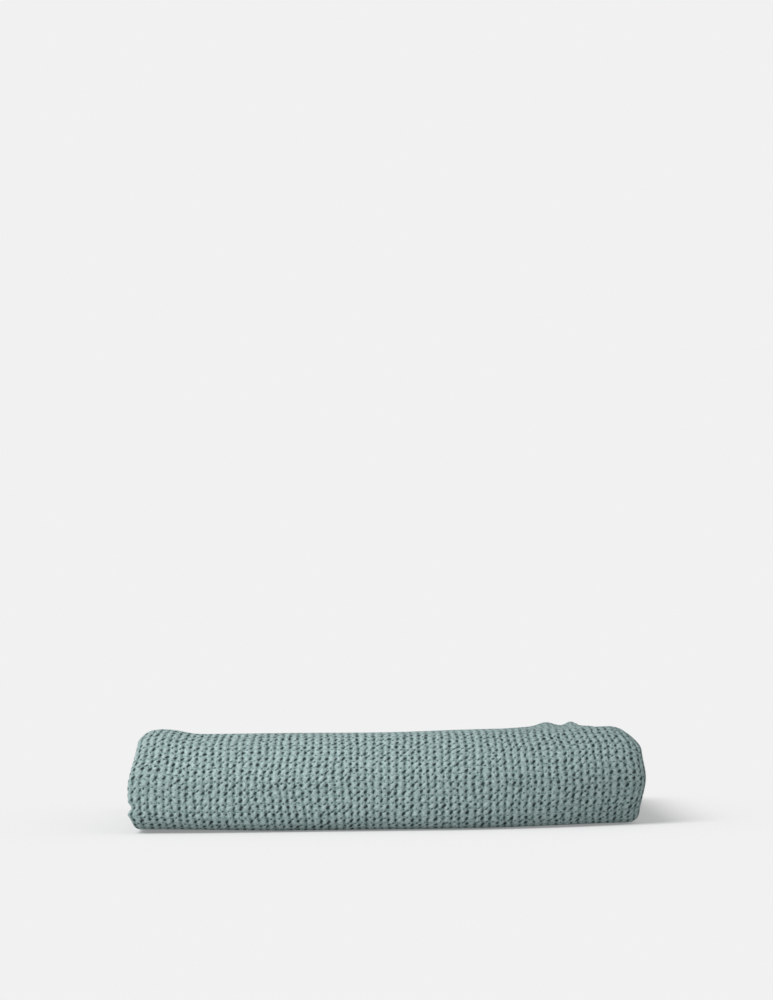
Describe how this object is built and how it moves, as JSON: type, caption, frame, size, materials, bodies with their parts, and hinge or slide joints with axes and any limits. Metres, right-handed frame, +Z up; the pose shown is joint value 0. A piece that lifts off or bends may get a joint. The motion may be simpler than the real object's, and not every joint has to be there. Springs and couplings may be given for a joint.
{
  "type": "folded throw blanket",
  "caption": "Knitted cotton throw, folded to a flat shelf-sized bundle, whose top half opens forward about its front fold.",
  "frame": {"origin": "on the surface that the throw lies on, under the middle of its box", "axes": "+X along the front fold, -Y towards the front fold, +Z up"},
  "size_m": [0.4312, 0.3388, 0.0829],
  "materials": {
    "knit": "matte",
    "binding_tape": "matte",
    "sewing_thread": "matte",
    "label_tape": "satin"
  },
  "bodies": {
    "lower_half": {"cloth_bottom_quarter": "knit", "cloth_back_fold": "knit", "cloth_second_quarter": "knit", "cloth_outer_front_fold": "knit", "cloth_inner_front_fold": "knit", "care_label": "label_tape", "care_label_stitch": "sewing_thread"},
    "upper_half": {"cloth_third_quarter": "knit", "cloth_top_quarter": "knit", "inner_end_binding": "binding_tape", "inner_end_seam_thread": "sewing_thread", "top_end_seam_thread": "sewing_thread", "top_end_binding": "binding_tape"}
  },
  "joints": [
    {"name": "top_half_opens", "type": "hinge", "parent": "lower_half", "child": "upper_half", "pos_m": [0, -0.12793, 0.04145], "axis": [1, 0, 0], "range_deg": [0, 179], "deforming": ["cloth_outer_front_fold", "cloth_inner_front_fold"]}
  ]
}
